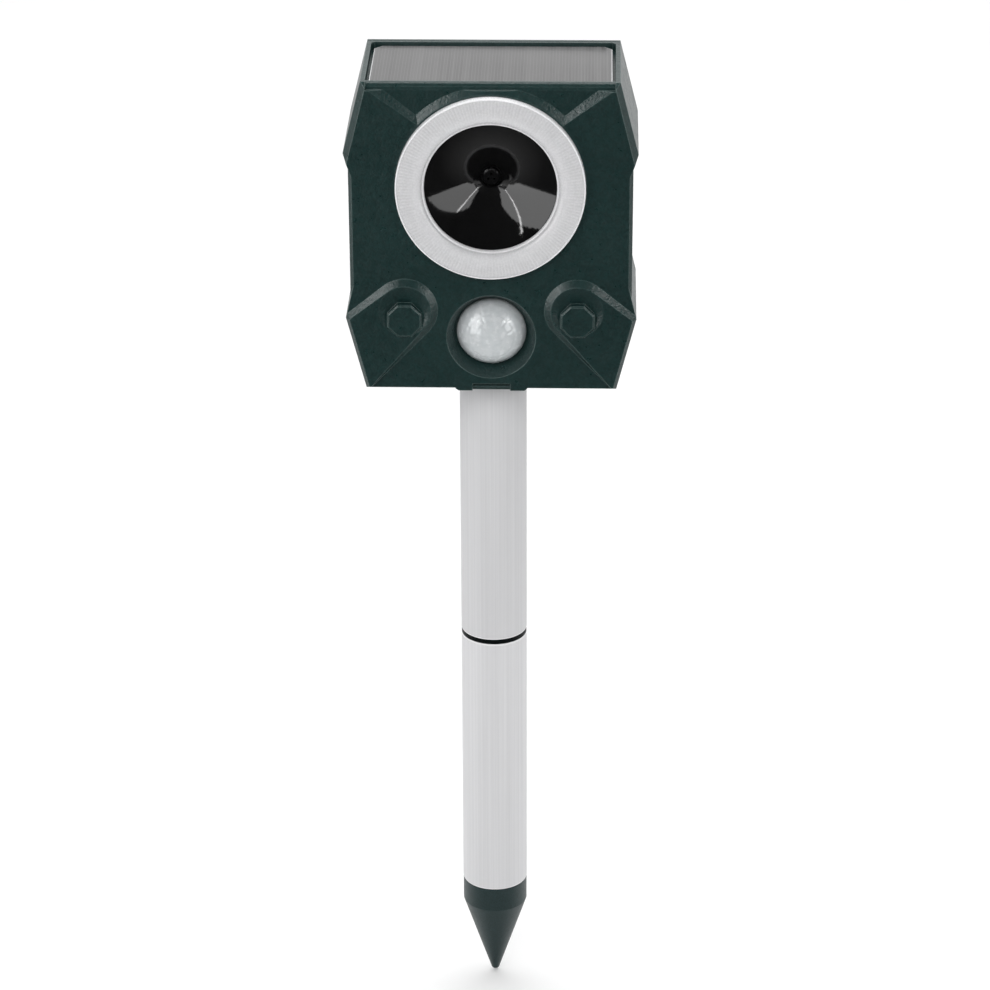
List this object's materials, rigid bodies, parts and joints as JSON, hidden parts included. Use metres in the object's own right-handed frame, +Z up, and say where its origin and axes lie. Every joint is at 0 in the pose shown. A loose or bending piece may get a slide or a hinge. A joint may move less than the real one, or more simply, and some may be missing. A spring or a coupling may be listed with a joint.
{
  "type": "ultrasonic pest repeller",
  "caption": "Solar ultrasonic pest repeller: faceted green head with horn, light ring and motion sensor on a two-part aluminium tube with a ground spike.",
  "frame": {"origin": "on the tube axis at the lower end of the lower tube, where the ground spike's shoulder meets it", "axes": "+Z up along the tube, -Y out of the front face (horn and motion sensor), +X to the viewer's right when facing the front"},
  "size_m": [0.1058, 0.061, 0.379],
  "materials": {
    "shell_green": "moulded plastic with a fine spark-eroded grain",
    "spike_green": "moulded plastic, smooth matte",
    "trim_green": "moulded plastic, smooth",
    "tube_aluminium": "satin anodised",
    "seal_black": "soft rubber",
    "screw_steel": "zinc plated",
    "solar_cell": "laminated cell under clear resin",
    "ring_white": "translucent diffuser with fine radial flutes",
    "board_green": "solder mask",
    "led_white": "clear resin",
    "horn_black": "high gloss",
    "driver_black": "moulded",
    "lens_white": "milky moulded lens",
    "retainer_white": "moulded",
    "can_steel": "plain",
    "component_black": "moulded",
    "knob_black": "fine grain",
    "flap_rubber": "soft rubber",
    "battery_blue": "shrink sleeve",
    "lead_red": "insulated wire"
  },
  "bodies": {
    "ground_stake": {"lower_tube": "tube_aluminium", "spike": "spike_green"},
    "coupler": {"coupler": "trim_green"},
    "mast": {"upper_tube": "tube_aluminium", "stake_adapter": "trim_green"},
    "head": {"front_shell": "shell_green", "rear_cover": "shell_green", "housing_seal": "seal_black", "housing_screws": "screw_steel", "panel_seal": "seal_black", "solar_panel": "solar_cell", "light_ring": "ring_white", "led_board": "board_green", "leds": "led_white", "horn": "horn_black", "phase_plug": "horn_black", "tweeter_driver": "driver_black", "horn_screws": "screw_steel", "pir_lens": "lens_white", "pir_retainer": "retainer_white", "pir_board": "board_green", "pir_sensor": "can_steel", "main_board": "board_green", "board_components": "component_black", "board_screws": "screw_steel", "control_board": "board_green", "control_screws": "screw_steel", "mode_switch": "component_black", "sensitivity_pot": "component_black", "knob_seals": "seal_black", "charge_board": "board_green", "usb_port": "can_steel", "battery_cell": "battery_blue", "battery_cradle": "driver_black", "battery_contacts": "can_steel", "internal_leads": "lead_red"},
    "mode_knob": {"mode_knob": "knob_black"},
    "sensitivity_knob": {"sensitivity_knob": "knob_black"},
    "port_cover": {"port_cover": "flap_rubber"}
  },
  "joints": [
    {"name": "coupler_pull", "type": "slide", "parent": "ground_stake", "child": "coupler", "axis": [0, 0, 1], "range_m": [0, 0.022]},
    {"name": "mast_turn", "type": "hinge", "parent": "coupler", "child": "mast", "pos_m": [0, 0, 0.1221], "axis": [0, 0, 1], "continuous": true},
    {"name": "head_lift", "type": "slide", "parent": "mast", "child": "head", "axis": [0, 0, 1], "range_m": [0, 0.024]},
    {"name": "mode_turn", "type": "hinge", "parent": "head", "child": "mode_knob", "pos_m": [-0.02, 0.0273, 0.3], "axis": [0, 1, 0], "range_deg": [0, 225]},
    {"name": "sensitivity_turn", "type": "hinge", "parent": "head", "child": "sensitivity_knob", "pos_m": [0.02, 0.0273, 0.3], "axis": [0, 1, 0], "range_deg": [-135, 135]},
    {"name": "port_flap", "type": "hinge", "parent": "head", "child": "port_cover", "pos_m": [0, 0.02815, 0.2407], "axis": [1, 0, 0], "range_deg": [0, 100]}
  ]
}
